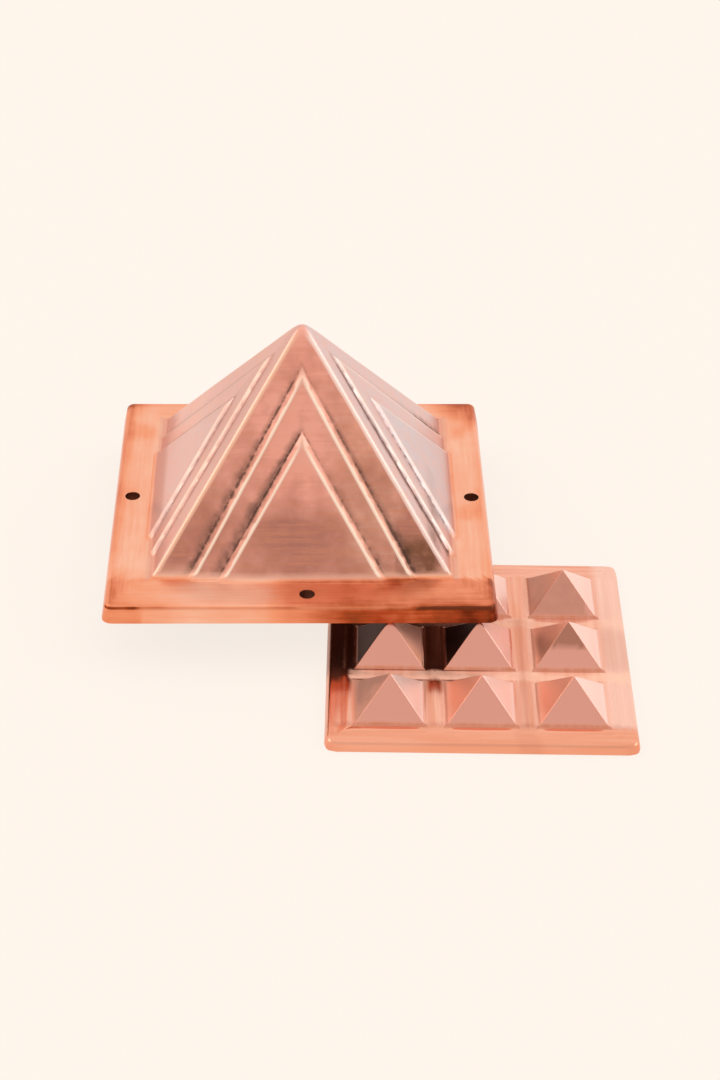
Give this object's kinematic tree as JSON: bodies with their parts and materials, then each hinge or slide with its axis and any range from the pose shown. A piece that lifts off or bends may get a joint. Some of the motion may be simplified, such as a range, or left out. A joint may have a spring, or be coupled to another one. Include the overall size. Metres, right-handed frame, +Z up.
{
  "type": "vastu pyramid",
  "caption": "Copper vastu pyramid: a stepped, hollow pyramid cover with a nail flange, lying across a plate pressed with small pyramids.",
  "frame": {"origin": "under the middle of the pair's outer box, on the surface that the plate stands on", "axes": "+Z up, +X to the right along the plate's front edge, -Y towards the viewer of the picture"},
  "size_m": [0.0786, 0.079, 0.0397],
  "materials": {
    "cover_copper": "pressed copper sheet, buffed, lightly tarnished, dark in the corners of the steps and bright on worn edges",
    "plate_copper": "pressed copper sheet, bright polish with faint buffing lines"
  },
  "bodies": {
    "plate": {"nine_pyramid_plate": "plate_copper"},
    "cover": {"pyramid_cover": "cover_copper"}
  },
  "joints": [
    {"name": "cover_lift", "type": "slide", "parent": "plate", "child": "cover", "axis": [0, 0, 1], "range_m": [0, 0.04]}
  ]
}
